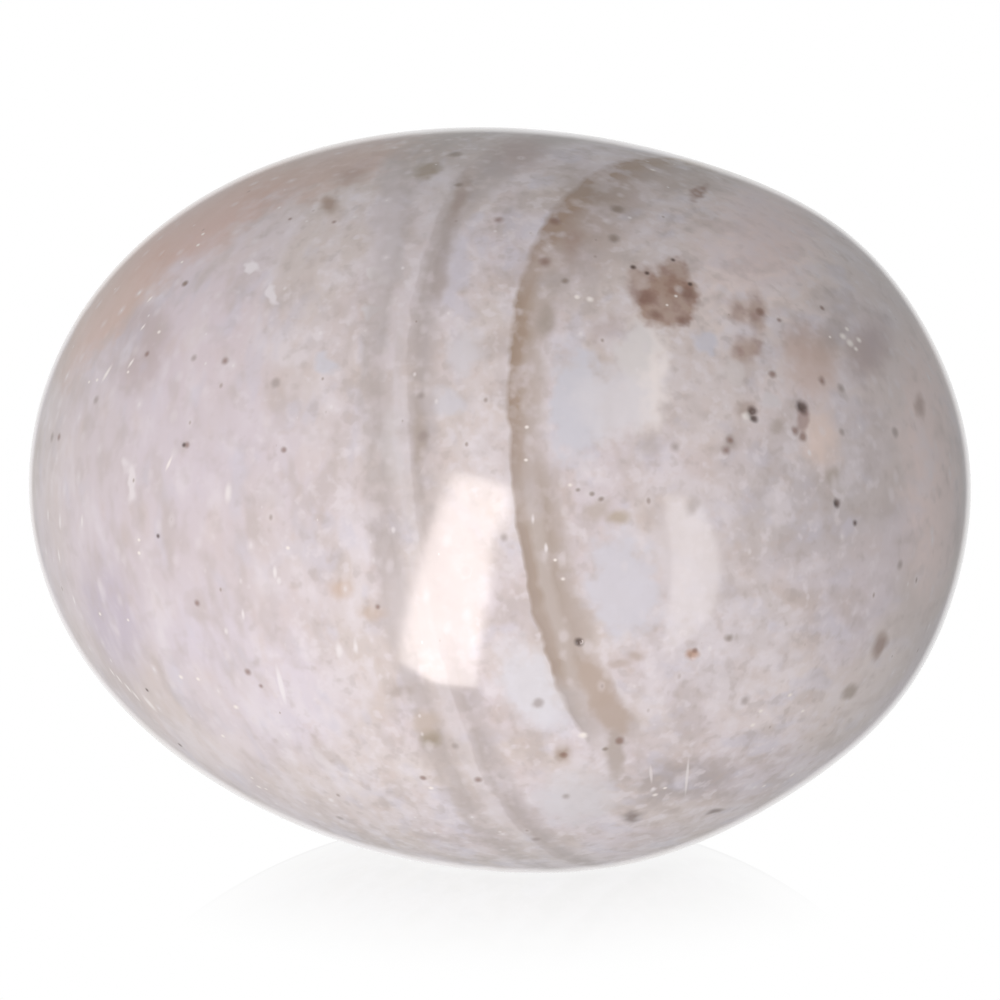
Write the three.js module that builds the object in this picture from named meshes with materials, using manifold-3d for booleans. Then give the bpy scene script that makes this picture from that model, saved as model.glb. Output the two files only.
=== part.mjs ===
import * as THREE from 'three';
import { mergeVertices } from 'three/addons/utils/BufferGeometryUtils.js';
import Module from 'manifold-3d';

// A tumbled banded agate: one polished stone, worn to an egg with soft flats.
// Millimetres, +Z up. The origin is the bottom centre of the stone's box, in the
// plane of the worn foot that it rests on. +X is toward the thick end, -Y is the front.

// The egg before wear, as three half axes from its middle.
const HALF_LENGTH = 15.95;
const HALF_DEPTH = 13.9;
const HALF_HEIGHT = 12.5;

// Where tumbling left the stone fuller than the egg (height above 0) or wore a soft flat
// into it (below 0). The direction is from the middle: azimuth turns from +X toward +Y,
// and elevation is above the level. Angles and spreads are in degrees, heights in mm.
const WEAR = [
  { place: 'thick end, upper shoulder', azimuth: 11, elevation: 35, spread: 12, height: 0.35 },
  { place: 'thick end, lower corner', azimuth: -8, elevation: -27, spread: 9, height: 0.12 },
  { place: 'thick end, tip', azimuth: -3, elevation: -9, spread: 9, height: -0.1 },
  { place: 'thick end, front cheek', azimuth: -62, elevation: 0, spread: 28, height: 0.6 },
  { place: 'thick end, back cheek', azimuth: 64, elevation: 0, spread: 28, height: 0.6 },
  { place: 'thick end, below the front', azimuth: -40, elevation: -64, spread: 16, height: 0.3 },
  { place: 'thick end, below the back', azimuth: 40, elevation: -35, spread: 16, height: 0.3 },
  { place: 'thin end, upper shoulder', azimuth: 165, elevation: 34, spread: 28, height: 0.55 },
  { place: 'thin end, worn below', azimuth: -166, elevation: -42, spread: 20, height: -0.2 },
  { place: 'thin end, worn behind', azimuth: 148, elevation: -5, spread: 18, height: -0.35 },
  { place: 'front, worn and leaning back', azimuth: -95, elevation: 14, spread: 24, height: -0.7 },
  { place: 'front, full and low', azimuth: -84, elevation: -32, spread: 22, height: 0.5 },
  { place: 'back, worn', azimuth: 100, elevation: 18, spread: 26, height: -0.7 },
  { place: 'top, worn behind', azimuth: 70, elevation: 48, spread: 16, height: -0.25 },
];

// The level of the worn foot, from the middle of the egg.
const FOOT_LEVEL = -12.1;

// How many times each edge of the icosahedron is split, less one.
const SURFACE_DETAIL = 15;

const AGATE_COLOR = 0xcbc1c3;
const POLISH_ROUGHNESS = 0.16;

function toward(azimuth, elevation) {
  const a = THREE.MathUtils.degToRad(azimuth);
  const e = THREE.MathUtils.degToRad(elevation);
  return new THREE.Vector3(Math.cos(e) * Math.cos(a), Math.cos(e) * Math.sin(a), Math.sin(e));
}

const wornPlaces = WEAR.map((wear) => ({
  direction: toward(wear.azimuth, wear.elevation),
  spread: THREE.MathUtils.degToRad(wear.spread),
  height: wear.height,
}));

// Distance from the middle to the surface in one direction.
function surfaceRadius(direction) {
  const { x, y, z } = direction;
  let radius = 1 / Math.hypot(x / HALF_LENGTH, y / HALF_DEPTH, z / HALF_HEIGHT);
  for (const place of wornPlaces) {
    const turn = direction.angleTo(place.direction) / place.spread;
    radius += place.height * Math.exp(-0.5 * turn * turn);
  }
  return radius;
}

// The whole egg with its swells and flats, before the foot is worn away.
function tumbledEgg() {
  const geometry = new THREE.IcosahedronGeometry(1, SURFACE_DETAIL);
  const points = geometry.attributes.position;
  const direction = new THREE.Vector3();
  for (let i = 0; i < points.count; i += 1) {
    direction.fromBufferAttribute(points, i).normalize();
    direction.multiplyScalar(surfaceRadius(direction));
    points.setXYZ(i, direction.x, direction.y, direction.z);
  }
  return geometry;
}

// Everything under the foot, as a block to take away.
function blockUnderFoot() {
  const side = 4 * HALF_LENGTH;
  const block = new THREE.BoxGeometry(side, side, side);
  block.translate(0, 0, FOOT_LEVEL - side / 2);
  return block;
}

const wasm = await Module();
wasm.setup();

function toSolid(geometry) {
  geometry.deleteAttribute('normal');
  geometry.deleteAttribute('uv');
  const merged = mergeVertices(geometry);
  return new wasm.Manifold(
    new wasm.Mesh({
      numProp: 3,
      vertProperties: new Float32Array(merged.attributes.position.array),
      triVerts: new Uint32Array(merged.index.array),
    }),
  );
}

function toGeometry(solid) {
  const mesh = solid.getMesh();
  const geometry = new THREE.BufferGeometry();
  geometry.setAttribute('position', new THREE.BufferAttribute(mesh.vertProperties, 3));
  geometry.setIndex(new THREE.BufferAttribute(mesh.triVerts, 1));
  return geometry;
}

// Moves the stone so that the bottom centre of its box is at the origin.
function standOnOrigin(geometry) {
  geometry.computeBoundingBox();
  const middle = geometry.boundingBox.getCenter(new THREE.Vector3());
  geometry.translate(-middle.x, -middle.y, -geometry.boundingBox.min.z);
  geometry.computeVertexNormals();
  return geometry;
}

const stone = new THREE.Mesh(
  standOnOrigin(toGeometry(toSolid(tumbledEgg()).subtract(toSolid(blockUnderFoot())))),
  new THREE.MeshStandardMaterial({
    color: AGATE_COLOR,
    roughness: POLISH_ROUGHNESS,
    metalness: 0,
  }),
);
stone.name = 'stone';

const agate = new THREE.Group();
agate.add(stone);

export default agate;
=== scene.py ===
"""A tumbled banded agate on a white sheet: the polished surface, the bands, clouds and
inclusions inside the stone, and the light of a small product studio.

Lengths on the stone are in millimetres from the middle of the egg that it was worn from,
with +X toward the thick end, -Y toward the viewer and +Z up, as in the frame. Blender's
own objects are in metres."""

import math
from collections import namedtuple

import bmesh
import bpy
import numpy as np
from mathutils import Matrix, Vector


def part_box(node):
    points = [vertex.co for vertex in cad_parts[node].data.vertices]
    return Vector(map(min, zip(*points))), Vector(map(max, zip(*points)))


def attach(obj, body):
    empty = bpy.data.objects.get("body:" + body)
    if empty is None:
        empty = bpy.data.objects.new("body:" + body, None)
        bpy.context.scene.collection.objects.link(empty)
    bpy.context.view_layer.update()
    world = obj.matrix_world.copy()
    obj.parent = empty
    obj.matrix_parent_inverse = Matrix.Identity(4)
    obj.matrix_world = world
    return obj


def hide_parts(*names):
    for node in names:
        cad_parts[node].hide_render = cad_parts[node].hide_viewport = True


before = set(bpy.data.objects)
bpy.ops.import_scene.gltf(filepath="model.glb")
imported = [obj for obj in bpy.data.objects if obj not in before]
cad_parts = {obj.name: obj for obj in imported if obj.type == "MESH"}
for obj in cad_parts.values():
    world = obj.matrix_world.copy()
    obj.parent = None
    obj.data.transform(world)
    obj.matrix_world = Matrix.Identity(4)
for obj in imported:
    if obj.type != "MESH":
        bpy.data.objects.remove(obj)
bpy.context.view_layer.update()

METRES = 0.001  # one millimetre

# -------------------- the form of the stone
HALF_AXES = (15.95, 13.9, 12.5)  # the egg before wear
FOOT_LEVEL = -12.1  # the worn foot that it rests on
FOOT_ROUNDING = 0.12  # how softly the foot meets the side
FOOT_REACH = 4  # roundings below the foot's level at which the soft edge is over
SPHERE_SUBDIVISIONS = 7

Wear = namedtuple("Wear", "place azimuth elevation spread height")
# Where the stone is fuller than the egg (height above 0) or worn flat (height below 0).
# Azimuth turns from +X toward +Y and elevation is above the level, both in degrees.
WEAR = (
    Wear("thick end, upper shoulder", 11, 35, 12, 0.35),
    Wear("thick end, lower corner", -8, -27, 9, 0.12),
    Wear("thick end, tip", -3, -9, 9, -0.1),
    Wear("thick end, front cheek", -62, 0, 28, 0.6),
    Wear("thick end, back cheek", 64, 0, 28, 0.6),
    Wear("thick end, below the front", -40, -64, 16, 0.3),
    Wear("thick end, below the back", 40, -35, 16, 0.3),
    Wear("thin end, upper shoulder", 165, 34, 28, 0.55),
    Wear("thin end, worn below", -166, -42, 20, -0.2),
    Wear("thin end, worn behind", 148, -5, 18, -0.35),
    Wear("front, worn and leaning back", -95, 14, 24, -0.7),
    Wear("front, full and low", -84, -32, 22, 0.5),
    Wear("back, worn", 100, 18, 26, -0.7),
    Wear("top, worn behind", 70, 48, 16, -0.25),
)

# -------------------- the view of the photo
PICTURE_SIDE = 1000  # pixels
PICTURE_WIDTH = 34.1  # mm of the stone that the picture spans
VIEW_ELEVATION = 13.0  # degrees that the camera looks down
VIEW_DISTANCE = 400.0
VIEW_AIM = (-0.05, 0.0, -0.135)  # mm from the middle of the egg
SENSOR_WIDTH = 36.0  # mm
AIM_PRECISION = 0.001  # mm, how closely a mark is brought to the surface

# -------------------- marks in the stone
# x and y of a mark are the pixel of the picture that shows its middle.
# A patch of colour: wide and tall are its half sizes in mm, lean is how far its top leans to
# the right in degrees, cover is how strongly it hides what is under it, and edge is how soft
# its edge is.
Patch = namedtuple("Patch", "name x y wide tall lean tint cover edge")


def as_patches(*rows):
    return tuple(Patch(*row) for row in rows)


TINTS = as_patches(
    ("lilac thin end", 165, 480, 3.9, 6.0, 4, "#dfd4de", 0.6, 0.6),
    ("lilac, upper left", 205, 320, 2.2, 2.4, 30, "#e6d8df", 0.55, 0.6),
    ("dusky lilac, low", 112, 618, 1.0, 1.9, -8, "#c9bfd1", 0.6, 0.6),
    ("dusky lilac, high", 140, 345, 1.0, 1.3, 15, "#c2b0ae", 0.6, 0.6),
    ("warm top", 460, 142, 3.0, 0.35, -2, "#bdaba1", 0.6, 0.6),
    # Painted light: the low left rim is made paler, as if lit from below.
    ("pale low rim", 215, 755, 1.9, 0.7, -35, "#ece2e2", 0.6, 0.6),
    ("pale low rim, middle", 380, 815, 3.0, 0.7, -14, "#e4dada", 0.6, 0.6),
    ("light thick end", 815, 330, 4.6, 5.5, -20, "#efe3e1", 0.55, 0.6),
    ("light shoulder", 762, 255, 2.4, 1.9, -25, "#fff1ed", 1.0, 0.6),
    ("light above the knot", 672, 222, 1.6, 0.8, 0, "#e6d9d6", 0.6, 0.6),
    ("pink shoulder", 772, 235, 0.9, 1.1, 30, "#f0dad2", 0.5, 0.6),
    ("pink thick end", 932, 470, 1.0, 4.4, -3, "#f6e5e2", 0.95, 0.5),
    ("grey thick end", 812, 500, 2.7, 2.4, 10, "#cac3c4", 0.65, 0.6),
    ("pale lower right", 765, 700, 2.2, 1.8, 30, "#f4eaea", 0.8, 0.6),
    ("lilac, lower left", 215, 630, 1.6, 1.5, 0, "#e4dce8", 0.6, 0.6),
    ("pale lilac, right", 716, 640, 2.3, 2.6, 10, "#e2dbdf", 0.7, 0.6),
    ("grey foot, right", 675, 780, 1.9, 0.8, 10, "#b6acac", 0.75, 0.5),
    ("grey lower edge", 860, 690, 1.0, 2.6, 35, "#ece2e0", 0.78, 0.5),
    ("pale lilac, low left", 290, 700, 1.9, 2.3, 0, "#e8e0ea", 0.7, 0.6),
    ("pale beige, low", 370, 775, 2.3, 1.6, -10, "#ebe2e1", 0.65, 0.6),
    ("pale middle", 690, 400, 1.6, 1.5, 0, "#e4dbdc", 0.6, 0.6),
    ("pale between the bands", 497, 470, 1.3, 3.2, -4, "#ece3e4", 0.65, 0.6),
    ("grey behind the glow", 392, 532, 0.6, 0.6, 10, "#cac2c6", 0.6, 0.5),
)

CLOUDS = as_patches(
    ("warm upper rim", 118, 295, 0.55, 3.2, 37, "#dfc0b2", 0.7, 0.5),
    ("warm upper rim, middle", 210, 207, 0.7, 3.4, 54, "#dab6a9", 0.72, 0.5),
    ("warm upper rim, right", 325, 158, 3.2, 0.6, -16, "#d3b2a3", 0.6, 0.5),
    ("smooth shoulder", 768, 228, 2.6, 1.6, -28, "#eddbdb", 0.6, 0.6),
    ("pale column", 646, 375, 0.7, 1.9, 5, "#fff7f5", 0.95, 0.5),
    ("milky cloud", 576, 405, 0.95, 1.75, 4, "#dedde6", 0.9, 0.35),
    ("milky cloud, right wing", 615, 400, 1.1, 1.2, 15, "#eae6eb", 0.8, 0.5),
    ("milky cloud, pale cap", 638, 348, 0.6, 0.75, 10, "#e8e3e3", 0.8, 0.5),
    ("small cloud under the knot", 706, 340, 0.42, 0.38, 0, "#dbd9e3", 0.8, 0.45),
    ("lower cloud", 622, 585, 1.2, 1.75, -6, "#e1dfe8", 0.85, 0.35),
    ("lower cloud, pale side", 690, 560, 1.1, 2.3, -10, "#e3dbdd", 0.7, 0.5),
    ("cloud between the bands", 464, 352, 0.62, 0.6, 30, "#e2dde2", 0.8, 0.5),
    ("cloud beside the second band", 446, 402, 0.6, 0.36, 0, "#e0dde4", 0.75, 0.5),
    ("cloud beside the second band, high", 452, 272, 0.4, 1.0, 15, "#d9d4de", 0.65, 0.5),
    ("long cloud between the bands", 533, 690, 0.85, 1.7, -22, "#e9e8ef", 0.8, 0.5),
    ("cloud at the foot", 575, 800, 1.3, 1.1, -20, "#e5e2e7", 0.75, 0.5),
    ("light strip, high", 392, 250, 0.34, 0.9, 8, "#d9d5db", 0.7, 0.5),
    ("light strip, low", 390, 450, 0.35, 1.1, 0, "#e0dbdd", 0.6, 0.5),
    ("pale spot, upper left", 254, 266, 0.26, 0.3, -20, "#f8f2f6", 0.9, 0.3),
    ("pale spot, upper left, low", 273, 293, 0.17, 0.28, 0, "#f5eff3", 0.85, 0.35),
    ("pale spot at the thin end", 131, 480, 0.22, 0.56, 4, "#f2ebee", 0.9, 0.35),
    ("pale spot, left", 378, 275, 0.27, 0.24, 0, "#f1eded", 0.9, 0.3),
    ("pale spot, left, low", 369, 310, 0.34, 0.18, 0, "#e9e6ea", 0.8, 0.35),
    ("pale spot on the strip", 389, 241, 0.19, 0.38, 5, "#e6e5ec", 0.8, 0.35),
    ("blue spot, left", 325, 362, 0.3, 0.34, 0, "#dcdce6", 0.7, 0.5),
    ("pale spot under the knots", 735, 372, 0.3, 0.34, -30, "#e6dedd", 0.7, 0.5),
    ("pale spot by the pit", 771, 402, 0.34, 0.24, 0, "#e2dcde", 0.7, 0.5),
    ("pale spot, far right", 846, 527, 0.3, 0.25, 0, "#d9d3dc", 0.6, 0.5),
    ("pale streak, low left", 323, 762, 0.16, 0.5, -20, "#ebe4e6", 0.6, 0.5),
)

STAINS_AND_PAINTED_HIGHLIGHT = as_patches(
    ("pale over the strip, high", 386, 232, 0.5, 1.9, 12, "#dcd3d6", 0.65, 0.6),
    ("pale over the strip, low", 400, 610, 0.5, 1.2, -4, "#ddd5d7", 0.5, 0.6),
    ("olive in the second band", 419, 440, 0.22, 0.9, 0, "#b5a69b", 0.55, 0.6),
    # Painted highlight: a pale patch under the key card's mirrored glow. It evens the glow out and
    # hides the bands beneath it.
    ("painted highlight under the key glow", 450, 578, 1.15, 3.0, 9, "#d9cdcc", 0.7, 0.3),
    ("brown core of the second band, lower", 440, 272, 0.2, 1.2, 12, "#ab9c95", 0.4, 0.6),
    ("brown spot between the bands", 563, 754, 0.26, 0.24, -20, "#b09a88", 0.8, 0.8),
    ("grey over the main band", 522, 462, 0.6, 1.5, 2, "#c6bbba", 0.3, 0.6),
    ("grey over the main band, low", 562, 628, 0.7, 1.0, -20, "#ccbfba", 0.3, 0.6),
    ("olive spot, low left", 430, 737, 0.28, 0.3, 0, "#a59680", 0.75, 0.7),
    ("dark spot at the foot", 632, 817, 0.32, 0.3, 0, "#8a7b75", 0.8, 0.7),
    ("dark spot at the foot, right", 715, 811, 0.26, 0.12, 10, "#8d7f7b", 0.8, 0.7),
    ("orange stain", 812, 368, 0.8, 1.0, -10, "#dcc3b8", 0.6, 0.6),
    ("orange stain, high", 797, 341, 0.5, 0.6, 10, "#d3b9ae", 0.5, 0.8),
    ("orange stain, right", 822, 352, 0.4, 0.6, -20, "#d0b8ad", 0.45, 0.8),
    ("peach stain", 820, 437, 0.5, 0.9, -12, "#f7e2d8", 0.75, 0.8),
    ("dusky patch", 868, 349, 0.95, 0.65, -35, "#b4a2a2", 0.62, 0.8),
    ("dusky patch, left", 835, 330, 0.6, 0.4, -20, "#c0b4b1", 0.55, 0.6),
    ("orange stain, left", 340, 588, 0.36, 0.3, -10, "#d3b9a5", 0.7, 0.8),
    ("orange stain, left, low", 372, 612, 0.34, 0.22, 0, "#cfb8a6", 0.65, 0.8),
    ("orange ring", 692, 654, 0.2, 0.2, 0, "#c29b82", 0.8, 0.6),
    ("grey brown smear, low left", 403, 692, 0.4, 0.16, -8, "#b8aba5", 0.65, 0.7),
    ("tan patch, low left", 424, 722, 0.45, 0.42, -30, "#cebdaf", 0.6, 0.6),
    ("rust mark, upper left", 329, 205, 0.26, 0.24, 30, "#a1846f", 0.7, 0.7),
    ("rust smear, upper left", 350, 177, 0.5, 0.22, -10, "#b9a197", 0.6, 0.8),
    ("olive mark", 428, 170, 0.42, 0.16, -6, "#a69580", 0.75, 0.6),
    ("brown core of the second band", 460, 198, 0.22, 0.75, 22, "#af9b90", 0.6, 0.6),
    ("dark top of the second band", 520, 150, 0.85, 0.4, -3, "#beaca8", 0.7, 0.7),
    ("olive blob, right", 833, 475, 0.26, 0.26, 0, "#b9aca1", 0.6, 0.7),
    ("brown smear at the top", 700, 192, 0.42, 0.12, -12, "#ab9085", 0.95, 0.5),
    ("brown smear, far right", 879, 646, 0.24, 0.5, 25, "#a68f84", 0.8, 0.6),
    ("brown smear, far right, low", 850, 692, 0.28, 0.26, 0, "#ad9f94", 0.75, 0.6),
    ("brown streak at the tip", 920, 405, 0.16, 0.3, -10, "#b59f97", 0.65, 0.7),
    ("tan arc, end", 636, 655, 0.3, 0.16, 20, "#c0aea3", 0.65, 0.7),
    ("tan arc, middle", 618, 664, 0.35, 0.16, -10, "#c3b1a6", 0.6, 0.7),
    ("tan spot by the cloud", 618, 517, 0.34, 0.2, 0, "#c2b29e", 0.75, 0.7),
    ("grey smudge beside the cloud", 650, 447, 0.34, 0.3, 0, "#c2b7b5", 0.6, 0.8),
    ("tan trail by the cloud", 596, 511, 0.5, 0.26, -20, "#c4b6aa", 0.65, 0.7),
    ("pink brown in the band top", 572, 242, 0.34, 0.42, 10, "#b09688", 0.6, 0.7),
    ("olive in the band top", 585, 190, 1.1, 0.3, 14, "#ab9b90", 0.5, 0.7),
    ("olive blob beside the band", 546, 320, 0.28, 0.4, 0, "#ab9e93", 0.6, 0.7),
    ("olive blobs beside the band, high", 556, 282, 0.42, 0.3, 0, "#ab9d94", 0.5, 0.7),
    ("pink smear beside the knot", 606, 330, 0.5, 0.36, -30, "#c4b3b0", 0.5, 0.7),
    ("brown halo of the pit", 745, 409, 0.3, 0.26, 0, "#b5a197", 0.6, 0.7),
    ("pink brown under the black spot", 802, 420, 0.2, 0.34, 0, "#b39a95", 0.75, 0.5),
    ("olive smudge by the rust", 779, 428, 0.24, 0.18, 0, "#b8aaa1", 0.6, 0.7),
    ("wedge, upper half", 595, 682, 0.5, 0.95, -26, "#c3b1a5", 0.85, 0.4),
    ("wedge, lower half", 611, 712, 0.52, 0.85, -24, "#c1afa3", 0.85, 0.4),
    ("grey tail of the wedge", 615, 755, 0.3, 0.85, -6, "#bdb0a8", 0.8, 0.5),
)

# The knots share two tints of their own.
KNOTS = as_patches(
    ("large knot, left lobe", 643, 287, 0.55, 0.68, 0, "", 0.6, 0.3),
    ("large knot, top lobe", 672, 279, 0.65, 0.6, 0, "", 0.75, 0.3),
    ("large knot, lower lobe", 668, 302, 0.98, 0.78, -12, "", 0.85, 0.22),
    ("small knot, left", 738, 310, 0.3, 0.36, 0, "", 0.6, 0.8),
    ("small knot, right", 757, 313, 0.3, 0.55, -8, "", 0.7, 0.7),
    ("small knot, low", 747, 350, 0.42, 0.34, 10, "", 0.7, 0.7),
    ("small knot, low right", 757, 346, 0.22, 0.24, 0, "", 0.5, 0.6),
)
KNOT_TINTS = ("#a58374", "#b79c8c")
KNOT_TINTS_CHANGE = (-0.14, 0.12)  # values of the grain between which one gives way to the other

# Thin pale healed cracks and a painted highlight, laid over the flecks: the pale place hides a fleck
# under the key card's glow.
STREAKS_AND_PAINTED_HIGHLIGHT = as_patches(
    ("painted highlight, clear place under the key glow", 466, 571, 0.17, 0.2, 0, "#d9cdcc", 0.95, 0.35),
    ("long streak at the foot", 687, 777, 0.045, 0.72, 3, "#f6f0f0", 0.75, 0.5),
    ("short streak at the foot", 651, 774, 0.05, 0.34, -4, "#f3ecec", 0.7, 0.5),
    ("streak, low left", 281, 685, 0.08, 0.6, -12, "#f7f2f5", 0.85, 0.5),
)

# Small round spots of one kind: tall is how many times taller than wide they are, lean and
# cover are as for a patch, and a spot's size is the radius in mm at which it has faded out.
SpotKind = namedtuple("SpotKind", "name tall lean tint cover spots")
Spot = namedtuple("Spot", "name x y size")


def as_spots(*rows):
    return tuple(Spot(*row) for row in rows)


SPECKS_AND_PAINTED_SHADE = (
    SpotKind("faint grey specks", 1.1, 0, "#a2948f", 0.6, as_spots(
        ("above the far dot", 841, 388, 0.24),
        ("shoulder of the thick end", 895, 432, 0.26),
        ("beside the peach stain", 842, 432, 0.2),
        ("under the pit", 730, 441, 0.34),
        ("faint ring", 675, 447, 0.24),
        ("left, second", 194, 358, 0.18),
        ("thin end", 52, 437, 0.24),
        ("thin end, olive", 96, 400, 0.22),
        ("middle left, high", 276, 383, 0.25),
        ("low middle", 340, 818, 0.2),
        ("right rim", 900, 565, 0.24),
        ("under the second band", 421, 396, 0.2),
        ("core of the second band", 424, 436, 0.3),
        ("left of the foot", 455, 746, 0.2),
        ("right of the middle", 692, 506, 0.4),
        ("right of the lower cloud", 745, 700, 0.3),
        ("above the dark foot spot", 566, 796, 0.22),
        ("lower left, by the band", 536, 839, 0.22),
        ("between the bands, low", 538, 703, 0.28),
        ("between the bands, high", 504, 538, 0.2),
    )),
    SpotKind("brown specks", 1.0, 0, "#8e6e62", 0.7, as_spots(
        ("in the knot, left", 645, 298, 0.46),
        ("in the knot, right", 688, 294, 0.4),
        ("in the knot, low", 656, 315, 0.36),
        ("in the knot, low right", 683, 320, 0.34),
        ("small knot's core", 760, 312, 0.24),
        ("under the black spot, left", 795, 431, 0.24),
        ("under the black spot, right", 803, 437, 0.24),
        ("upper left", 185, 284, 0.2),
        ("thin end", 59, 437, 0.2),
        ("second row, left", 187, 445, 0.17),
        ("by the orange stain", 773, 374, 0.22),
        ("on the orange stain", 822, 381, 0.24),
        ("under the pit", 730, 440, 0.22),
        ("under the pit, low", 726, 450, 0.24),
        ("dot, upper right", 779, 320, 0.16),
        ("dot, shoulder", 822, 308, 0.16),
        ("low between the bands", 564, 755, 0.18),
        ("blotch in the band", 545, 262, 0.34),
        ("blotch in the band, high", 555, 221, 0.3),
        ("beside the second band", 498, 220, 0.26),
        ("orange ring's core", 695, 651, 0.15),
        ("top, left", 290, 219, 0.13),
        ("by the thin end", 147, 354, 0.17),
        ("left", 225, 361, 0.22),
        ("middle left", 284, 450, 0.16),
        ("by the orange stain, left", 378, 607, 0.14),
        ("low left", 261, 686, 0.14),
        ("low left, second", 248, 672, 0.2),
        ("low, right of the strip", 478, 780, 0.19),
        ("top, by the rust mark", 334, 222, 0.15),
        ("left, low", 197, 603, 0.18),
        ("on the strip, low", 423, 778, 0.16),
        ("by the wedge", 620, 741, 0.22),
    )),
    SpotKind("olive specks", 0.8, -8, "#8f7f71", 0.68, as_spots(
        ("band top", 617, 209, 0.4),
        ("band top, low", 614, 239, 0.32),
        ("row of dots 1", 578, 490, 0.14),
        ("row of dots 2", 592, 494, 0.14),
        ("row of dots 3", 601, 499, 0.16),
        ("beside the band, high", 565, 281, 0.2),
        ("top, left of the band", 455, 154, 0.34),
        ("top, under the olive mark", 459, 185, 0.22),
        ("top, far left", 185, 283, 0.2),
        ("grey dot, lower right", 729, 638, 0.26),
        ("foot, small", 605, 749, 0.16),
    )),
    SpotKind("black specks and painted pit shadow", 1.0, 0, "#503a34", 0.85, as_spots(
        ("black spot", 802, 406, 0.38),
        # Painted shadow: the two spots at the open pit are the dark side of its hollow, laid in as
        # colour.
        ("pit", 753, 411, 0.25),
        ("pit, low", 754, 418, 0.22),
        ("right", 837, 503, 0.23),
        ("right, low", 855, 523, 0.18),
        ("by the band", 579, 642, 0.2),
        ("knot rim 1", 633, 267, 0.15),
        ("knot rim 2", 647, 273, 0.13),
        ("knot rim 3", 673, 260, 0.13),
        ("knot rim 4", 690, 284, 0.12),
        ("left of the middle", 184, 445, 0.13),
        ("left of the middle, low", 158, 536, 0.12),
        ("low left", 147, 690, 0.12),
        ("low left rim", 180, 745, 0.14),
    )),
)

GLINTS = (
    SpotKind("leaning glints, left", 4.5, 22, "#fff8f6", 0.95, as_spots(
        ("far left", 107, 373, 0.13),
        ("far left, second", 131, 363, 0.09),
        ("upper left", 150, 299, 0.09),
        ("upper left, low", 143, 327, 0.075),
        ("left", 169, 463, 0.09),
    )),
    SpotKind("glints along the low left edge", 2.6, -40, "#fbf4f3", 0.9, as_spots(
        ("edge 1", 119, 679, 0.11),
        ("edge 2", 128, 688, 0.12),
        ("edge 3", 136, 696, 0.14),
        ("edge 4", 150, 704, 0.2),
        ("edge 5", 112, 672, 0.1),
    )),
    SpotKind("upright glints", 3.0, -3, "#f6f0f1", 0.9, as_spots(
        ("left of the middle", 228, 493, 0.2),
        ("thin end 1", 59, 556, 0.12),
        ("thin end 2", 48, 515, 0.1),
        ("thin end 3", 60, 522, 0.12),
        ("thin end 4", 74, 600, 0.1),
        ("thin end 5", 82, 521, 0.1),
        ("foot, left streak", 653, 789, 0.13),
        ("left, faint stroke", 275, 572, 0.1),
        ("low left, second", 243, 614, 0.09),
        ("low left, blob", 339, 650, 0.16),
        ("low left, blob, right", 356, 647, 0.13),
        ("by the foot, blob", 331, 800, 0.16),
        ("band, middle", 533, 519, 0.1),
        ("band, second line", 546, 548, 0.09),
    )),
    SpotKind("round glints", 0.8, 0, "#fff8f4", 0.95, as_spots(
        ("far left 1", 97, 380, 0.11),
        ("far left 2", 89, 382, 0.1),
        ("far left 3", 128, 372, 0.1),
        ("upper left 1", 203, 234, 0.11),
        ("upper left 2", 198, 245, 0.11),
        ("upper left 3", 182, 262, 0.1),
        ("upper left 4", 159, 332, 0.12),
        ("left 1", 139, 540, 0.1),
        ("left 2", 139, 553, 0.11),
        ("left 3", 100, 614, 0.11),
        ("left 4", 128, 620, 0.1),
        ("left of the middle", 288, 548, 0.12),
        ("low, by the band", 431, 788, 0.13),
        ("left 5", 236, 707, 0.17),
        ("left 6", 181, 677, 0.14),
        ("left 7", 198, 679, 0.12),
        ("left 8", 223, 736, 0.13),
        ("low 1", 259, 787, 0.15),
        ("low 2", 252, 778, 0.11),
        ("low 3", 266, 789, 0.1),
        ("right of the wedge 1", 761, 711, 0.13),
        ("right of the wedge 2", 753, 725, 0.14),
        ("right of the wedge 3", 764, 786, 0.14),
        ("upper right 1", 830, 337, 0.09),
        ("upper right 2", 843, 336, 0.23),
        ("upper right 3", 850, 343, 0.25),
        ("upper right 4", 859, 340, 0.19),
        ("upper right 5", 847, 329, 0.14),
        ("upper right 6", 856, 349, 0.16),
        ("top", 653, 170, 0.17),
        ("beside the band", 590, 299, 0.18),
        ("beside the band, left", 577, 297, 0.15),
        ("knot 1", 676, 296, 0.1),
        ("knot 2", 667, 305, 0.08),
        ("pit centre", 746, 416, 0.24),
        ("band 1", 527, 427, 0.11),
        ("band 2", 570, 485, 0.13),
        ("band 3", 526, 460, 0.1),
        ("band 4", 563, 579, 0.14),
        ("band 5", 555, 560, 0.1),
        ("foot 1", 655, 795, 0.15),
        ("foot 2", 665, 788, 0.1),
        ("foot 3", 583, 735, 0.22),
        ("lower right 1", 790, 695, 0.16),
        ("lower right 2", 803, 711, 0.14),
        ("lower right 3", 792, 775, 0.14),
    )),
)

# Real pits in the polish, as round hollows: sizes in mm.
Pit = namedtuple("Pit", "name x y radius depth")
PITS = (
    Pit("open pit", 752, 414, 0.16, 0.07),
    Pit("black spot", 801, 405, 0.14, 0.05),
    Pit("dark dot, right", 837, 503, 0.11, 0.05),
    Pit("dark dot by the band", 579, 642, 0.1, 0.05),
    Pit("orange ring", 693, 655, 0.12, 0.04),
    Pit("low between the bands", 564, 755, 0.14, 0.03),
)
PIT_REFINEMENTS = 3
PIT_REACH = 0.6  # mm around a pit that the mesh is made finer
PIT_END = 3  # radii from its middle at which a pit is over

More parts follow.
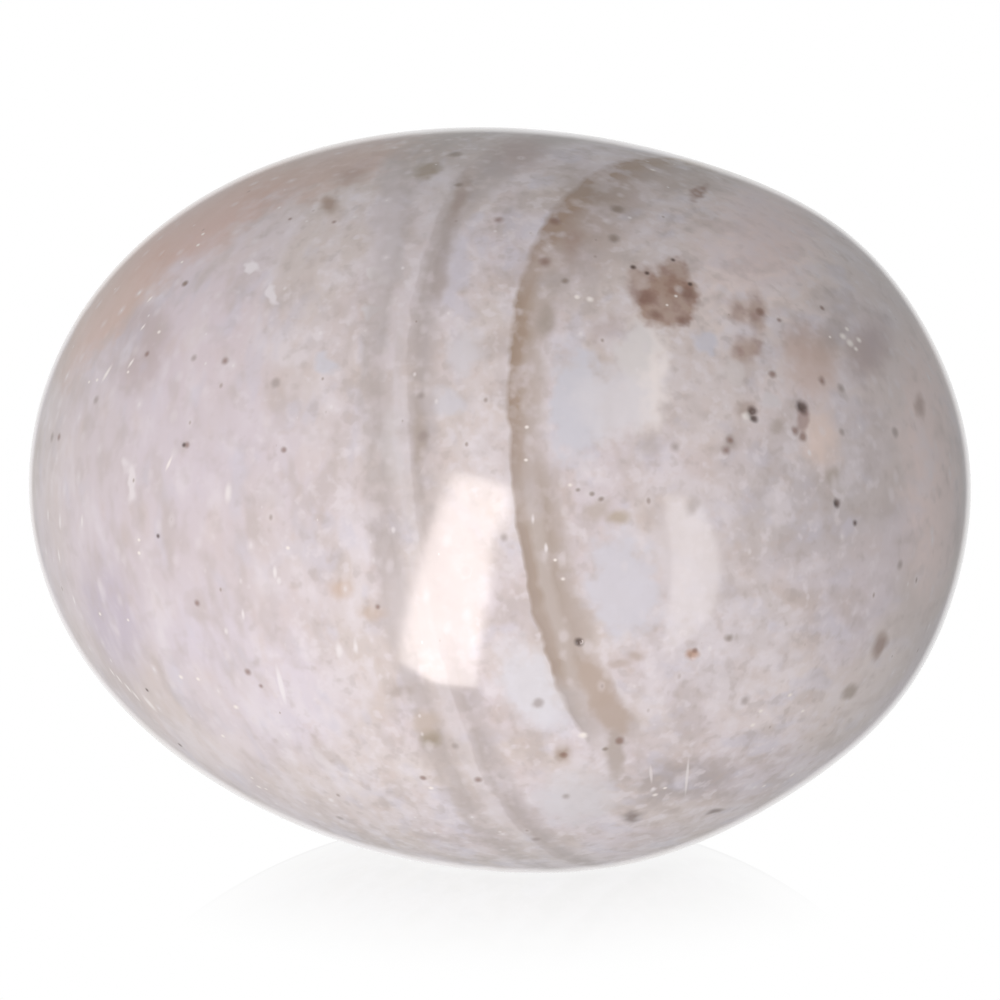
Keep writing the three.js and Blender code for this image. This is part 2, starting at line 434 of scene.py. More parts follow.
# -------------------- the banding
# A sheet that bands follow. Its distance to the right of the middle is
# base + up * z + up2 * z^2 + back * y + back2 * y^2.
Sheet = namedtuple("Sheet", "base up up2 back back2")
MAIN_SHEET = Sheet(10.17, -0.2928, -0.0093, 0.6635, 0.0)
SECOND_SHEET = Sheet(4.725, -0.2273, -0.0007, 0.6936, 0.0144)
SHEET_WOBBLE = 0.22  # mm that the lumps push it to either side

# A stop of a band's profile: how far right of the sheet in mm, the colour and its cover.
Stop = namedtuple("Stop", "at tint cover")
MAIN_BAND_TOP = (
    Stop(-0.15, "#b09d91", 0.0),
    Stop(0.1, "#ab907b", 0.85),
    Stop(0.5, "#ad937d", 0.88),
    Stop(1.1, "#b5a193", 0.7),
    Stop(2.0, "#bcaaa0", 0.5),
    Stop(3.0, "#c2b6b0", 0.0),
)
MAIN_BAND_UPPER = (
    Stop(-0.1, "#b9a79a", 0.0),
    Stop(0.08, "#ad9785", 0.95),
    Stop(0.35, "#b19b88", 0.9),
    Stop(0.62, "#c0b0a5", 0.8),
    Stop(0.95, "#c4b6ad", 0.65),
    Stop(1.3, "#cabeb6", 0.0),
)
MAIN_BAND_MIDDLE = (
    Stop(-0.1, "#b4a498", 0.0),
    Stop(0.06, "#b3a297", 0.95),
    Stop(0.28, "#b8a89d", 0.85),
    Stop(0.5, "#cabfb9", 0.8),
    Stop(0.72, "#c7bbb4", 0.75),
    Stop(0.98, "#b8a89d", 0.85),
    Stop(1.4, "#beb0a6", 0.65),
    Stop(1.85, "#c6bab1", 0.0),
)
MAIN_BAND_LOWER = (
    Stop(-0.1, "#bbb0ab", 0.0),
    Stop(0.08, "#b9aeaa", 0.8),
    Stop(0.35, "#bfb4af", 0.7),
    Stop(0.9, "#c6bbb6", 0.5),
    Stop(1.6, "#c6bbb6", 0.4),
    Stop(2.0, "#cdc2bb", 0.0),
)
# Heights in mm between which one profile of the main band gives way to the next.
TOP_TO_UPPER = (10.8, 8.8)
UPPER_TO_MIDDLE = (4.6, 3.0)
MIDDLE_TO_LOWER = (-2.6, -3.6)
MAIN_BAND_END = (-4.6, -6.2)

SECOND_BAND = (
    Stop(-2.35, "#c9bfbc", 0.0),
    Stop(-2.0, "#bfb5b2", 0.6),
    Stop(-1.4, "#beb4b1", 0.7),
    Stop(-1.05, "#ccc3c0", 0.3),
    Stop(-0.9, "#ded8da", 0.4),
    Stop(-0.5, "#ded8da", 0.4),
    Stop(-0.4, "#c6bcbb", 0.6),
    Stop(-0.12, "#beb3b0", 0.85),
    Stop(0.15, "#c1b7b6", 0.85),
    Stop(0.45, "#c9bfbe", 0.55),
    Stop(0.75, "#cdc2c0", 0.0),
)
# Heights in mm over which it widens, and the share of the distance from the sheet at each.
SECOND_BAND_FAN = (10.2, 12.2, 1.0, 0.5)
# Bands of the back, which die out over the top. They follow the second sheet too.
BACK_BANDS = (
    Stop(-12.6, "#c2b8b2", 0.0),
    Stop(-12.2, "#bcb0a9", 0.7),
    Stop(-11.4, "#c2b8b2", 0.0),
    Stop(-9.0, "#c2b6b0", 0.0),
    Stop(-8.8, "#b3a59b", 0.8),
    Stop(-8.1, "#c0b3aa", 0.6),
    Stop(-7.4, "#c2b6b0", 0.0),
    Stop(-5.4, "#ddd8dc", 0.0),
    Stop(-4.9, "#ddd8dc", 0.6),
    Stop(-4.2, "#beb2ac", 0.6),
    Stop(-3.6, "#c2b6b0", 0.0),
)
BACK_BANDS_REACH = (-1.0, 6.0)  # mm behind the middle, none and full
# How patchy a band is. Its cover follows a random field: two values of the field, and the
# share of the cover at each.
PATCHY = (0.3, 0.56, 0.45, 1.0)
LESS_PATCHY = (0.45, 1.0, 0.72, 1.0)  # the same for the main band's middle, by PATCHY's share
PATCHY_GRAIN = 0.6  # how much the grain adds to that field

# -------------------- ground and mottling
# The random fields. The scale is how many times they change per mm.
Field = namedtuple("Field", "scale detail roughness")
LUMPS = Field(0.9, 2.0, 0.6)
CLOUDINESS = Field(0.85, 2.0, 0.5)
GRAIN = Field(1.9, 2.0, 0.5)
BROAD = Field(0.35, 1.0, 0.5)
CLEAR_END = (-11.5, -3.5)  # mm to the right, clearest and least clear
CLEAR_GRAIN, CLEAR_CLOUDS = 0.4, 0.65  # strengths where it is clearest
CALM_TIP = (14.5, 9.0)  # mm to the right, calmest and fully mottled
CALM_TIP_STRENGTH = 0.45
LOOSE_PUSH = 1.1  # how far the lumps push the soft tints and clouds about
RAGGEDNESS = 0.9  # how much the grain wears the edges of the marks
FLOW_ALONG = (-6.0, 2.0, 0.6, 1.0)  # mm to the right, and the share of the height kept there
FLOW_BACK = 0.7  # the share of the depth that is kept

GROUND_TINTS = ("#e3d9dd", "#dfd4d1")
GROUND_CHANGE = (0.38, 0.62)  # values of the broad field between which they change
# A layer of mottling: the field and its channel, the values at which the layer starts and is
# full, its full cover and its colour.
Mottling = namedtuple("Mottling", "name field channel start full cover tint")
MOTTLING = (
    Mottling("grey", "clouds", 0, 0.0, 0.16, 0.5, "#c9bdb9"),
    Mottling("white", "clouds", 0, 0.0, -0.16, 0.55, "#f0e9ee"),
    Mottling("tan", "clouds", 1, 0.02, 0.18, 0.28, "#dccbc3"),
    Mottling("lilac", "clouds", 1, -0.02, -0.18, 0.4, "#d9d6e3"),
    Mottling("grey lumps", "lumps", 2, 0.54, 0.68, 0.25, "#c8bdbc"),
    Mottling("white grains", "grain", 0, 0.03, 0.2, 0.5, "#f2ebef"),
    Mottling("grey grains", "grain", 0, -0.03, -0.2, 0.34, "#bdb1ad"),
    Mottling("tan grains", "grain", 1, 0.04, 0.22, 0.2, "#d6c3ba"),
)

# Flecks are scattered one to a box. Distances are shares of the box.
FLECK_BOX = (0.65, 0.65, 1.0)  # mm
SOFT_SHARE = 0.5  # of the boxes hold a soft pale patch
SOFT_FADE = (0.36, 0.06, 0.0, 0.4)  # where it starts and is full, and its cover there
SOFT_RAGGEDNESS = 0.5  # how much of the wear its edge takes
# The white dots are painted glints: small flashes of the polish laid in as white colour.
GLINT_SHARE = (2.0, -6.0, 0.25, 0.6)  # mm to the right, and the share of boxes with a white dot
DARK_SHARE = 0.12  # of the boxes hold a dark dot
DOT_SIZE = (0.06, 0.12)  # the smallest dot, and how much larger the largest is
DOT_FADE = (1.0, 0.1, 0.0, 0.7)  # shares of its size, and its cover there
SOFT_TINT, GLINT_TINT, DARK_TINT = "#efe8eb", "#f6f1f2", "#a8958d"

POLISH = {"Roughness": 0.1, "IOR": 1.54, "Specular IOR Level": 0.62}

# -------------------- the light
Card = namedtuple("Card", "name azimuth elevation distance radiance tint corners")
# Soft boxes that the polish mirrors, in mm and degrees from the middle of the egg. A card
# faces the stone, and its corners are mm to the right of and above its own middle.
CARDS = (
    Card("key_card", -106.5, -1.1, 500, 7.3, (1.0, 0.925, 0.905, 1), (
        (6, 291), (76, 262), (73, 168), (54, 146), (50, -3), (12, -337), (-66, -328),
        (-108, -254), (-40, 27))),
    Card("fill_card", -52.5, -5.7, 500, 2.4, (1.0, 0.98, 0.98, 1), (
        (-100, 278), (3, 235), (53, 5), (52, -93), (11, -173), (-52, -210))),
)
# The dim room, and how much brighter it is toward the thin end and below.
ROOM_LIGHT = 0.455
ROOM_SLOPE = (-0.2, 0.0, -0.05)
# The white backdrop that the edge of the stone mirrors.
BACKDROP_REACH = (14.0, 26.0)  # degrees about the middle of the view, full and none

FLOOR_RADIUS = 1.5  # metres
FLOOR_SEGMENTS = 96
FLOOR_DROP = 0.00002  # metres
FLOOR_GLOSS = 0.2  # the share of light that it mirrors at the foot
FLOOR_GLOSS_REACH = (0.0045, 0.0185)  # metres from the foot, full and none
FLOOR_GLOSS_SQUEEZE = (1.25, 1.0, 1.0)  # it dies away sooner to the sides


def toward(azimuth, elevation):
    """A unit vector. Azimuth turns from +X toward +Y, elevation is above the level."""
    turn, rise = math.radians(azimuth), math.radians(elevation)
    return np.array((math.cos(rise) * math.cos(turn), math.cos(rise) * math.sin(turn), math.sin(rise)))


def surface_radius(directions):
    """How far the surface is from the middle of the egg, for rows of unit vectors."""
    radius = 1 / np.linalg.norm(directions / np.array(HALF_AXES), axis=1)
    for wear in WEAR:
        cosine = np.clip(directions @ toward(wear.azimuth, wear.elevation), -1, 1)
        turn = np.degrees(np.arccos(cosine)) / wear.spread
        radius = radius + wear.height * np.exp(-0.5 * turn * turn)
    return radius


# -------------------- from picture to stone
VIEW_RIGHT = np.array((1.0, 0.0, 0.0))
VIEW_FORWARD = toward(90, -VIEW_ELEVATION)
VIEW_UP = np.cross(VIEW_RIGHT, VIEW_FORWARD)


def front_points(marks):
    """The points of the stone that the picture shows at the marks' pixels."""
    scale = PICTURE_WIDTH / PICTURE_SIDE
    eye = np.array(VIEW_AIM) - VIEW_FORWARD * VIEW_DISTANCE
    across = np.array([[mark.x - PICTURE_SIDE / 2] for mark in marks]) * scale
    up = np.array([[PICTURE_SIDE / 2 - mark.y] for mark in marks]) * scale
    rays = VIEW_FORWARD * VIEW_DISTANCE + VIEW_RIGHT * across + VIEW_UP * up
    rays /= np.linalg.norm(rays, axis=1)[:, None]
    inside = -rays @ eye
    outside = inside - 2 * HALF_AXES[0]
    while (inside - outside).max() > AIM_PRECISION:
        halfway = (inside + outside) / 2
        points = eye + rays * halfway[:, None]
        reach = np.linalg.norm(points, axis=1)
        is_out = reach > surface_radius(points / reach[:, None])
        outside = np.where(is_out, halfway, outside)
        inside = np.where(is_out, inside, halfway)
    return eye + rays * inside[:, None]


SPOTS = tuple(spot for kind in (*SPECKS_AND_PAINTED_SHADE, *GLINTS) for spot in kind.spots)
MARKS = (*TINTS, *CLOUDS, *STAINS_AND_PAINTED_HIGHLIGHT, *KNOTS, *STREAKS_AND_PAINTED_HIGHLIGHT, *SPOTS, *PITS)
PLACES = dict(zip(MARKS, front_points(MARKS)))


# -------------------- the mesh
def rounded_foot(heights):
    """Heights with everything below the foot's level brought up to it, over a soft edge."""
    above = heights - FOOT_LEVEL
    soft = FOOT_LEVEL + (above + np.hypot(above, FOOT_ROUNDING)) / 2
    return np.where(above < -FOOT_REACH * FOOT_ROUNDING, FOOT_LEVEL, soft)


def sphere_directions(subdivisions):
    """A ball of triangles and the directions of its corners."""
    ball = bmesh.new()
    bmesh.ops.create_icosphere(ball, subdivisions=subdivisions, radius=1)
    directions = np.array([vertex.co for vertex in ball.verts])
    return ball, directions / np.linalg.norm(directions, axis=1)[:, None]


def sink_pits(ball):
    """Makes the mesh finer around each pit and pushes its hollow in."""
    middles = np.array([PLACES[pit] for pit in PITS])
    for _ in range(PIT_REFINEMENTS):
        points = np.array([vertex.co for vertex in ball.verts])
        away = np.linalg.norm(points[:, None] - middles, axis=2).min(axis=1)
        ball.verts.index_update()
        close = [all(away[end.index] < PIT_REACH for end in edge.verts) for edge in ball.edges]
        edges = [edge for edge, is_close in zip(ball.edges, close) if is_close]
        bmesh.ops.subdivide_edges(ball, edges=edges, cuts=1, use_grid_fill=True)
        bmesh.ops.triangulate(ball, faces=[face for face in ball.faces if len(face.verts) > 3])
    for vertex in ball.verts:
        for pit, middle in zip(PITS, middles):
            away = (vertex.co - Vector(middle)).length / pit.radius
            if away < PIT_END:
                vertex.co -= Vector(middle).normalized() * pit.depth * math.exp(-away * away)


def stone_mesh():
    """The polished surface, in mm from the middle of the egg."""
    ball, directions = sphere_directions(SPHERE_SUBDIVISIONS)
    points = directions * surface_radius(directions)[:, None]
    points[:, 2] = rounded_foot(points[:, 2])
    for vertex, point in zip(ball.verts, points):
        vertex.co = point
    spread = (points.min(0) + points.max(0)) / 2
    sink_pits(ball)
    mesh = bpy.data.meshes.new("agate_surface")
    ball.to_mesh(mesh)
    ball.free()
    mesh.shade_smooth()
    return mesh, np.array((-spread[0], -spread[1], -FOOT_LEVEL))


def mesh_points(mesh):
    points = np.empty(len(mesh.vertices) * 3)
    mesh.vertices.foreach_get("co", points)
    return points.reshape(-1, 3)


def bring_to_frame(mesh, middle):
    """From mm about the egg's middle to metres in the frame, inside the part's own box."""
    low, high = (np.array(corner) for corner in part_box("stone"))
    places = np.clip((mesh_points(mesh) + middle) * METRES, low, high)
    mesh.vertices.foreach_set("co", places.ravel())
    mesh.update()


# -------------------- shader graphs
def color(code):
    """A '#rrggbb' screen colour as the linear RGBA that Blender's sockets take."""
    channels = [int(code[start : start + 2], 16) / 255 for start in (1, 3, 5)]
    linear = [c / 12.92 if c <= 0.04045 else ((c + 0.055) / 1.055) ** 2.4 for c in channels]
    return (*linear, 1.0)


class Graph:
    """Short calls that build a node graph. An input is a number, a tuple or a socket."""

    def __init__(self, tree):
        tree.nodes.clear()
        self.tree = tree

    def node(self, kind, inputs, **settings):
        made = self.tree.nodes.new(kind)
        for name, value in settings.items():
            setattr(made, name, value)
        for key, value in inputs.items():
            if isinstance(value, bpy.types.NodeSocket):
                self.tree.links.new(value, made.inputs[key])
            elif value is not None:
                made.inputs[key].default_value = value
        return made

    def math(self, operation, a, b=None, c=None):
        return self.node("ShaderNodeMath", {0: a, 1: b, 2: c}, operation=operation).outputs[0]

    def vector(self, operation, a, b=None, c=None):
        made = self.node("ShaderNodeVectorMath", {0: a, 1: b, 2: c}, operation=operation)
        is_number = operation in ("LENGTH", "DISTANCE", "DOT_PRODUCT")
        return made.outputs["Value" if is_number else "Vector"]

    def split(self, vector):
        return self.node("ShaderNodeSeparateXYZ", {0: vector}).outputs[:3]

    def split_color(self, tint):
        return self.node("ShaderNodeSeparateColor", {0: tint}).outputs[:3]

    def join(self, x, y, z):
        return self.node("ShaderNodeCombineXYZ", {0: x, 1: y, 2: z}).outputs[0]

    def turn(self, vector, center, lean):
        """The place turned about a center so that what leans right by lean stands upright."""
        inputs = {"Vector": vector, "Center": center, "Angle": -math.radians(lean)}
        return self.node("ShaderNodeVectorRotate", inputs, rotation_type="Y_AXIS").outputs[0]

    def step(self, value, start, end, bottom=0.0, top=1.0):
        """A smooth change from bottom to top as the value goes from start to end."""
        inputs = {0: value, 1: start, 2: end, 3: bottom, 4: top}
        return self.node("ShaderNodeMapRange", inputs, interpolation_type="SMOOTHSTEP").outputs[0]

    def mix(self, amount, under, over):
        inputs = {0: amount, 6: under, 7: over}
        return self.node("ShaderNodeMix", inputs, data_type="RGBA").outputs[2]

    def noise(self, place, field):
        inputs = {"Vector": place, "Scale": field.scale, "Detail": field.detail}
        inputs["Roughness"] = field.roughness
        return self.node("ShaderNodeTexNoise", inputs).outputs

    def profile(self, distance, stops):
        """The colour and the cover of a band at a distance in mm from its sheet."""
        first, last = stops[0].at, stops[-1].at
        share = self.node("ShaderNodeMapRange", {0: distance, 1: first, 2: last}).outputs[0]
        made = self.node("ShaderNodeValToRGB", {0: share})
        elements = made.color_ramp.elements
        while len(elements) < len(stops):
            elements.new(1.0)
        for element, stop in zip(elements, stops):
            element.position = (stop.at - first) / (last - first)
            element.color = (*color(stop.tint)[:3], stop.cover)
        return made.outputs[0], made.outputs[1]


def new_material(name):
    material = bpy.data.materials.new(name)
    material.use_nodes = True
    return material, Graph(material.node_tree)


def add_object(name, data):
    made = bpy.data.objects.new(name, data)
    bpy.context.scene.collection.objects.link(made)
    return made


# -------------------- the agate
PATCH_DEPTH = 2.5  # how deep a patch reaches, as a multiple of its larger half size
MARK_SLACK = 0.6  # mm around a mark within which a zone's material still carries it
SPOT_FADE = (1.0, 0.1)  # shares of a spot's size at which it starts and is full
HALVES = (0.5, 0.5, 0.5)  # the middle of a random colour
ZONE_SUBDIVISIONS = 1  # of the icosahedron, which leaves its own 12 corners


def upright(offset, lean):
    """Offsets turned so that what leans right by lean degrees stands upright."""
    lean = math.radians(lean)
    across = offset[..., 0] * math.cos(lean) - offset[..., 2] * math.sin(lean)
    up = offset[..., 0] * math.sin(lean) + offset[..., 2] * math.cos(lean)
    return np.stack((across, offset[..., 1], up), axis=-1)


def half_sizes(patch):
    return np.array((patch.wide, PATCH_DEPTH * max(patch.wide, patch.tall), patch.tall))


def reaches_patch(points, patch):
    """Whether any of a zone's points may show the patch."""
    offset = upright(points - PLACES[patch], patch.lean)
    beyond = np.maximum(np.abs(offset) - MARK_SLACK, 0) / half_sizes(patch)
    return np.linalg.norm(beyond, axis=1).min() < 1 + patch.edge


def reaches_spot(points, spot, tall):
    away = np.linalg.norm(points - PLACES[spot], axis=1).min()
    return away < MARK_SLACK + spot.size * max(tall, 1)


def patch_mask(graph, place, patch, ragged):
    middle = PLACES[patch]
    if patch.lean:
        place = graph.turn(place, tuple(middle), patch.lean)
    shares = 1 / half_sizes(patch)
    local = graph.vector("MULTIPLY_ADD", place, tuple(shares), tuple(-middle * shares))
    reach = graph.vector("LENGTH", local)
    if ragged:
        reach = graph.math("ADD", reach, ragged)
    return graph.step(reach, 1 + patch.edge, 1 - patch.edge, 0.0, patch.cover)


def paint_patches(graph, surface, place, patches, ragged, points):
    """The surface with the patches laid over it in turn."""
    for patch in patches:
        if reaches_patch(points, patch):
            mask = patch_mask(graph, place, patch, ragged)
            surface = graph.mix(mask, surface, color(patch.tint))
    return surface


def paint_knots(graph, surface, place, grain, ragged, points):
    """Knots of soft brown grains."""
    near = [knot for knot in KNOTS if reaches_patch(points, knot)]
    if not near:
        return surface
    change = graph.step(grain, *KNOT_TINTS_CHANGE)
    tint = graph.mix(change, *(color(tint) for tint in KNOT_TINTS))
    for knot in near:
        surface = graph.mix(patch_mask(graph, place, knot, ragged), surface, tint)
    return surface


def spot_center(spot, kind):
    """Where a spot lies once its kind's lean and height are undone."""
    return tuple(upright(PLACES[spot], kind.lean) / (1, 1, kind.tall))


def paint_spots(graph, surface, place, kinds, ragged, points):
    """The surface with small soft spots, all those of a kind in one layer."""
    for kind in kinds:
        near = [spot for spot in kind.spots if reaches_spot(points, spot, kind.tall)]
        if not near:
            continue
        local = graph.turn(place, (0.0, 0.0, 0.0), kind.lean) if kind.lean else place
        local = graph.vector("MULTIPLY", local, (1.0, 1.0, 1 / kind.tall))
        closest = None
        for spot in near:
            away = graph.vector("DISTANCE", local, spot_center(spot, kind))
            reach = graph.math("DIVIDE", away, spot.size)
            closest = graph.math("MINIMUM", closest, reach) if closest else reach
        closest = graph.math("ADD", closest, ragged)
        mask = graph.step(closest, *SPOT_FADE, 0.0, kind.cover)
        surface = graph.mix(mask, surface, color(kind.tint))
    return surface


def past_sheet(graph, x, y, z, sheet):
    """How far right of a sheet a place is, in mm."""
    rise = graph.math("MULTIPLY_ADD", z, sheet.up2, sheet.up)
    lean = graph.math("MULTIPLY_ADD", y, sheet.back2, sheet.back)
    at = graph.math("MULTIPLY_ADD", z, rise, sheet.base)
    at = graph.math("MULTIPLY_ADD", y, lean, at)
    return graph.math("SUBTRACT", x, at)


def paint_band(graph, surface, distance, stops, cover):
    tint, strength = graph.profile(distance, stops)
    return graph.mix(graph.math("MULTIPLY", strength, cover), surface, tint)


def paint_bands(graph, surface, place, patchy):
    """The two bands of the front with their strips, and the fainter bands of the back."""
    x, y, z = graph.split(place)
    second = past_sheet(graph, x, y, z, SECOND_SHEET)
    fanned = graph.math("MULTIPLY", second, graph.step(z, *SECOND_BAND_FAN))
    surface = paint_band(graph, surface, fanned, SECOND_BAND, patchy)
    behind = graph.step(y, *BACK_BANDS_REACH)
    surface = paint_band(graph, surface, second, BACK_BANDS, graph.math("MULTIPLY", behind, patchy))

    main = past_sheet(graph, x, y, z, MAIN_SHEET)
    below_top = graph.step(z, *TOP_TO_UPPER)
    below_upper = graph.step(z, *UPPER_TO_MIDDLE)
    below_middle = graph.step(z, *MIDDLE_TO_LOWER)
    top = graph.math("MULTIPLY", graph.math("SUBTRACT", 1.0, below_top), patchy)
    surface = paint_band(graph, surface, main, MAIN_BAND_TOP, top)
    upper = graph.math("MULTIPLY", graph.math("SUBTRACT", below_top, below_middle), patchy)
    surface = paint_band(graph, surface, main, MAIN_BAND_UPPER, upper)
    middle = graph.math("SUBTRACT", below_upper, below_middle)
    middle = graph.math("MULTIPLY", middle, graph.step(patchy, *LESS_PATCHY))
    surface = paint_band(graph, surface, main, MAIN_BAND_MIDDLE, middle)
    lower = graph.math("SUBTRACT", below_middle, graph.step(z, *MAIN_BAND_END))
    return paint_band(graph, surface, main, MAIN_BAND_LOWER, lower)


def flow_place(graph, place):
    """Where a place is along the bands, so that what is laid out by it is drawn out along
    them toward the thin end."""
    x, y, z = graph.split(place)
    layer = past_sheet(graph, x, y, z, SECOND_SHEET)
    drawn = graph.math("MULTIPLY", z, graph.step(x, *FLOW_ALONG))
    return graph.join(layer, graph.math("MULTIPLY", y, FLOW_BACK), drawn)


def centred(graph, place, field, strength):
    """Three smooth random channels that go from about -0.3 to 0.3 times strength."""
    noise = graph.noise(place, field)["Color"]
    inputs = {0: graph.vector("SUBTRACT", noise, HALVES), "Scale": strength}
    scaled = graph.node("ShaderNodeVectorMath", inputs, operation="SCALE")
    return graph.split(scaled.outputs["Vector"])


def random_fields(graph, place, flow):
    """The fields that all unevenness follows. The clouds and the grain are weaker at the clear
    thin end and at the tip of the thick one."""
    x = graph.split(place)[0]
    tip = graph.step(x, *CALM_TIP, CALM_TIP_STRENGTH, 1.0)
    grain_strength = graph.math("MULTIPLY", tip, graph.step(x, *CLEAR_END, CLEAR_GRAIN, 1.0))
    cloud_strength = graph.math("MULTIPLY", tip, graph.step(x, *CLEAR_END, CLEAR_CLOUDS, 1.0))
    return {
        "lumps": graph.split_color(graph.noise(place, LUMPS)["Color"]),
        "grain": centred(graph, place, GRAIN, grain_strength),
        "clouds": centred(graph, flow, CLOUDINESS, cloud_strength),
    }


def paint_mottling(graph, surface, fields):
    """Soft patches of white, grey, tan and lilac, and finer grains over them."""
    for layer in MOTTLING:
        value = fields[layer.field][layer.channel]
        mask = graph.step(value, layer.start, layer.full, 0.0, layer.cover)
        surface = graph.mix(mask, surface, color(layer.tint))
    return surface


def paint_flecks(graph, surface, place, ragged):
    """Soft pale patches, small white dots that are painted glints, and faint dark grains,
    scattered one to a box. There are more glints toward the thin end."""
    white_share = graph.step(graph.split(place)[0], *GLINT_SHARE)
    scaled = graph.vector("DIVIDE", place, FLECK_BOX)
    boxes = graph.node("ShaderNodeTexVoronoi", {"Vector": scaled, "Scale": 1.0})
    pick, tilt, size = graph.split_color(boxes.outputs["Color"])
    away = boxes.outputs["Distance"]
    is_soft = graph.math("LESS_THAN", pick, SOFT_SHARE)
    worn = graph.math("MULTIPLY_ADD", ragged, SOFT_RAGGEDNESS, away)
    soft = graph.math("MULTIPLY", is_soft, graph.step(worn, *SOFT_FADE))
    surface = graph.mix(soft, surface, color(SOFT_TINT))
    smallest, growth = DOT_SIZE
    reach = graph.math("DIVIDE", away, graph.math("MULTIPLY_ADD", size, growth, smallest))
    dot = graph.step(graph.math("ADD", reach, ragged), *DOT_FADE)
    # Painted glints: white dots laid in as colour.
    white = graph.math("MULTIPLY", graph.math("LESS_THAN", tilt, white_share), dot)
    surface = graph.mix(white, surface, color(GLINT_TINT))
    dark = graph.math("MULTIPLY", graph.math("GREATER_THAN", tilt, 1 - DARK_SHARE), dot)
    return graph.mix(dark, surface, color(DARK_TINT))


def paint_agate(graph, place, points):
    """The colour of the stone: the ground, and over it each kind of mark in turn."""
    flow = flow_place(graph, place)
    fields = random_fields(graph, place, flow)
    lumps, grain = fields["lumps"], fields["grain"]
    push = graph.vector("SUBTRACT", graph.join(*lumps), HALVES)
    loose = graph.vector("MULTIPLY_ADD", push, (LOOSE_PUSH,) * 3, place)
    firm = graph.vector("MULTIPLY_ADD", push, (2 * SHEET_WOBBLE,) * 3, place)
    patchy = graph.step(graph.math("MULTIPLY_ADD", grain[1], PATCHY_GRAIN, lumps[1]), *PATCHY)
    ragged = graph.math("MULTIPLY", grain[2], RAGGEDNESS)
    change = graph.step(graph.noise(flow, BROAD)["Fac"], *GROUND_CHANGE)
    surface = graph.mix(change, *(color(tint) for tint in GROUND_TINTS))
    surface = paint_patches(graph, surface, loose, TINTS, None, points)
    surface = paint_mottling(graph, surface, fields)
    surface = paint_patches(graph, surface, loose, CLOUDS, ragged, points)
    surface = paint_bands(graph, surface, firm, patchy)
    surface = paint_patches(graph, surface, firm, STAINS_AND_PAINTED_HIGHLIGHT, ragged, points)
    surface = paint_knots(graph, surface, firm, grain[0], ragged, points)
    surface = paint_flecks(graph, surface, place, ragged)
    surface = paint_patches(graph, surface, place, STREAKS_AND_PAINTED_HIGHLIGHT, None, points)
    return paint_spots(graph, surface, place, (*SPECKS_AND_PAINTED_SHADE, *GLINTS), ragged, points)


def agate_material(name, middle, points):
    """The material of one zone of the stone, with the marks that its points may show."""
    material, graph = new_material(name)
    metres = graph.node("ShaderNodeTexCoord", {}).outputs["Object"]
    place = graph.vector("MULTIPLY_ADD", metres, (1 / METRES,) * 3, tuple(-middle))
    surface = paint_agate(graph, place, points)
    shader = graph.node("ShaderNodeBsdfPrincipled", {"Base Color": surface, **POLISH})
    graph.node("ShaderNodeOutputMaterial", {"Surface": shader.outputs[0]})
    return material


def dress_zones(mesh, middle):
    """Gives each zone of the surface a material with only the marks that are near it. The
    zones are the faces nearest to each corner of an icosahedron."""
    points = mesh_points(mesh)
    ball, corners = sphere_directions(ZONE_SUBDIVISIONS)
    ball.free()
    ends = np.empty(len(mesh.polygons) * 3, dtype=np.int32)
    mesh.polygons.foreach_get("vertices", ends)
    ends = ends.reshape(-1, 3)
    zones = (points[ends].mean(axis=1) @ corners.T).argmax(axis=1)
    for zone in range(len(corners)):
        own = points[np.unique(ends[zones == zone])]
        mesh.materials.append(agate_material(f"polished_agate_{zone}", middle, own))
    mesh.polygons.foreach_set("material_index", zones.astype(np.int32))


def make_stone():
    mesh, middle = stone_mesh()
    dress_zones(mesh, middle)
    bring_to_frame(mesh, middle)
    stone = add_object("agate_stone", mesh)
    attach(stone, "root")
    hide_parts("stone")
    return middle


# -------------------- the studio
def floor_material():
    """Plain white, with a soft mirror that dies away from the foot."""
    material, graph = new_material("white_sheet")
    place = graph.node("ShaderNodeTexCoord", {}).outputs["Object"]
    away = graph.vector("LENGTH", graph.vector("MULTIPLY", place, FLOOR_GLOSS_SQUEEZE))
    white = graph.node("ShaderNodeEmission", {"Color": (1, 1, 1, 1), "Strength": 1.0})
    mirror = graph.node("ShaderNodeBsdfGlossy", {"Color": (1, 1, 1, 1), "Roughness": 0.0})
    gloss = graph.step(away, *FLOOR_GLOSS_REACH, FLOOR_GLOSS, 0.0)
    mixed = graph.node("ShaderNodeMixShader", {0: gloss, 1: white.outputs[0], 2: mirror.outputs[0]})
    graph.node("ShaderNodeOutputMaterial", {"Surface": mixed.outputs[0]})
    return material


def hide_from_light(piece):
    piece.visible_glossy = False
    piece.visible_diffuse = False
    piece.visible_shadow = False


def make_floor():
    """The sheet under the stone. The stone itself is lit as if nothing lay below it."""
    disc = bmesh.new()
    bmesh.ops.create_circle(disc, cap_ends=True, segments=FLOOR_SEGMENTS, radius=FLOOR_RADIUS)
    mesh = bpy.data.meshes.new("white_sheet")
    disc.to_mesh(mesh)
    disc.free()
    mesh.materials.append(floor_material())
    floor = add_object("white_sheet", mesh)
    floor.location.z = -FLOOR_DROP
    hide_from_light(floor)


def card_material(card):
    material, graph = new_material(card.name)
    glow = graph.node("ShaderNodeEmission", {"Color": card.tint, "Strength": card.radiance})
    graph.node("ShaderNodeOutputMaterial", {"Surface": glow.outputs[0]})
    return material


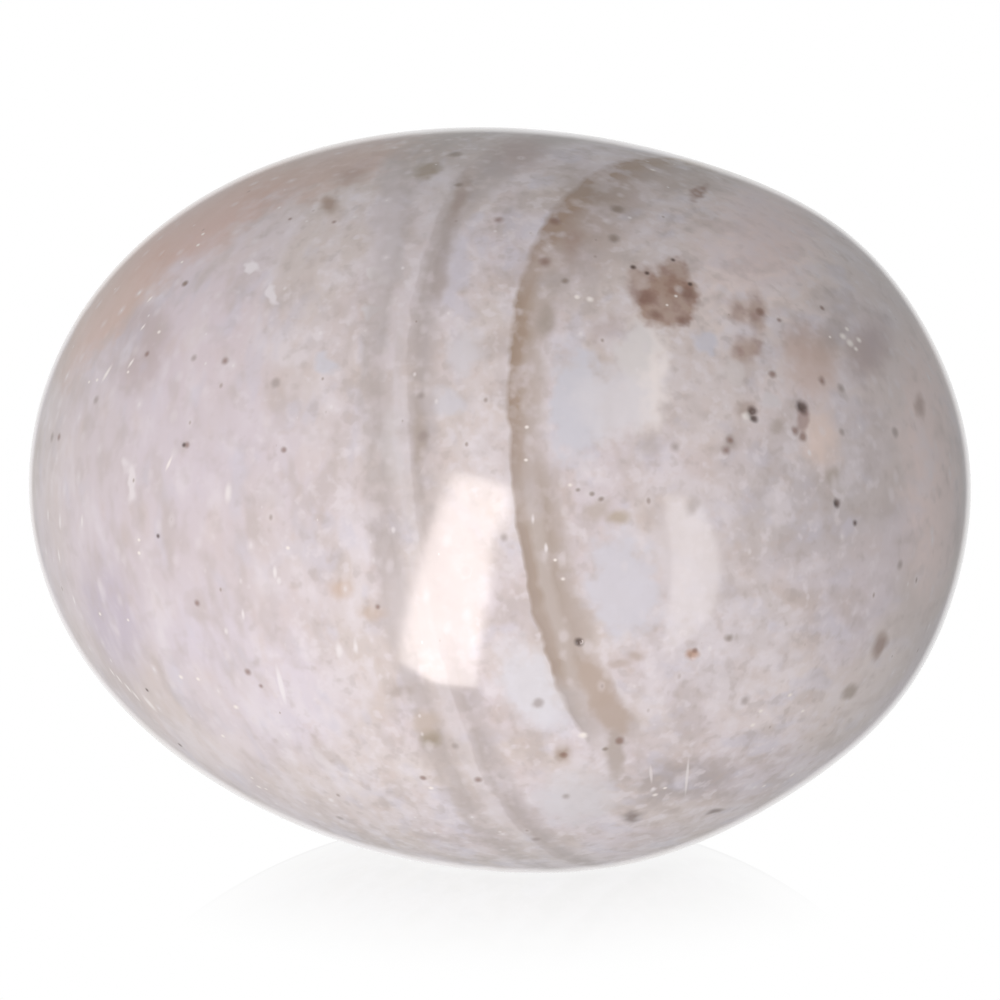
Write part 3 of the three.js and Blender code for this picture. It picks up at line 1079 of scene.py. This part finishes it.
def make_card(card, middle):
    """A glowing card with cut corners, which only the stone sees."""
    direction = toward(card.azimuth, card.elevation)
    right = np.cross((0, 0, 1), direction)
    right /= np.linalg.norm(right)
    up = np.cross(direction, right)
    corners = [middle + direction * card.distance + right * x + up * z for x, z in card.corners]
    mesh = bpy.data.meshes.new(card.name)
    mesh.from_pydata([tuple(corner * METRES) for corner in corners], [], [tuple(range(len(corners)))])
    mesh.materials.append(card_material(card))
    piece = add_object(card.name, mesh)
    piece.visible_camera = False


def make_room():
    """Dim light from all round, the white backdrop that the stone's edge mirrors, and plain
    white for the camera and for the clear mirror of the floor."""
    world = bpy.data.worlds.new("studio")
    world.use_nodes = True
    bpy.context.scene.world = world
    graph = Graph(world.node_tree)
    direction = graph.node("ShaderNodeTexCoord", {}).outputs["Generated"]
    slope = graph.vector("DOT_PRODUCT", direction, ROOM_SLOPE)
    room = graph.math("ADD", slope, ROOM_LIGHT)
    full, none = (math.cos(math.radians(angle)) for angle in BACKDROP_REACH)
    straight = graph.vector("DOT_PRODUCT", direction, tuple(VIEW_FORWARD))
    room = graph.math("MAXIMUM", room, graph.step(straight, none, full))
    path = graph.node("ShaderNodeLightPath", {})
    seen = graph.math("MAXIMUM", path.outputs["Is Camera Ray"], path.outputs["Is Singular Ray"])
    strength = graph.math("MAXIMUM", room, seen)
    background = graph.node("ShaderNodeBackground", {"Color": (1, 1, 1, 1), "Strength": strength})
    graph.node("ShaderNodeOutputWorld", {"Surface": background.outputs[0]})


def make_camera(middle):
    data = bpy.data.cameras.new("camera")
    data.sensor_width = SENSOR_WIDTH
    data.lens = SENSOR_WIDTH * VIEW_DISTANCE / PICTURE_WIDTH
    camera = add_object("camera", data)
    aim = Vector(middle) + Vector(VIEW_AIM)
    camera.location = (aim - Vector(VIEW_FORWARD) * VIEW_DISTANCE) * METRES
    camera.rotation_euler = Vector(VIEW_FORWARD).to_track_quat("-Z", "Y").to_euler()
    bpy.context.scene.camera = camera


bpy.context.scene.view_settings.view_transform = "Standard"
egg_middle = make_stone()
make_camera(egg_middle)
make_floor()
make_room()
for card in CARDS:
    make_card(card, egg_middle)
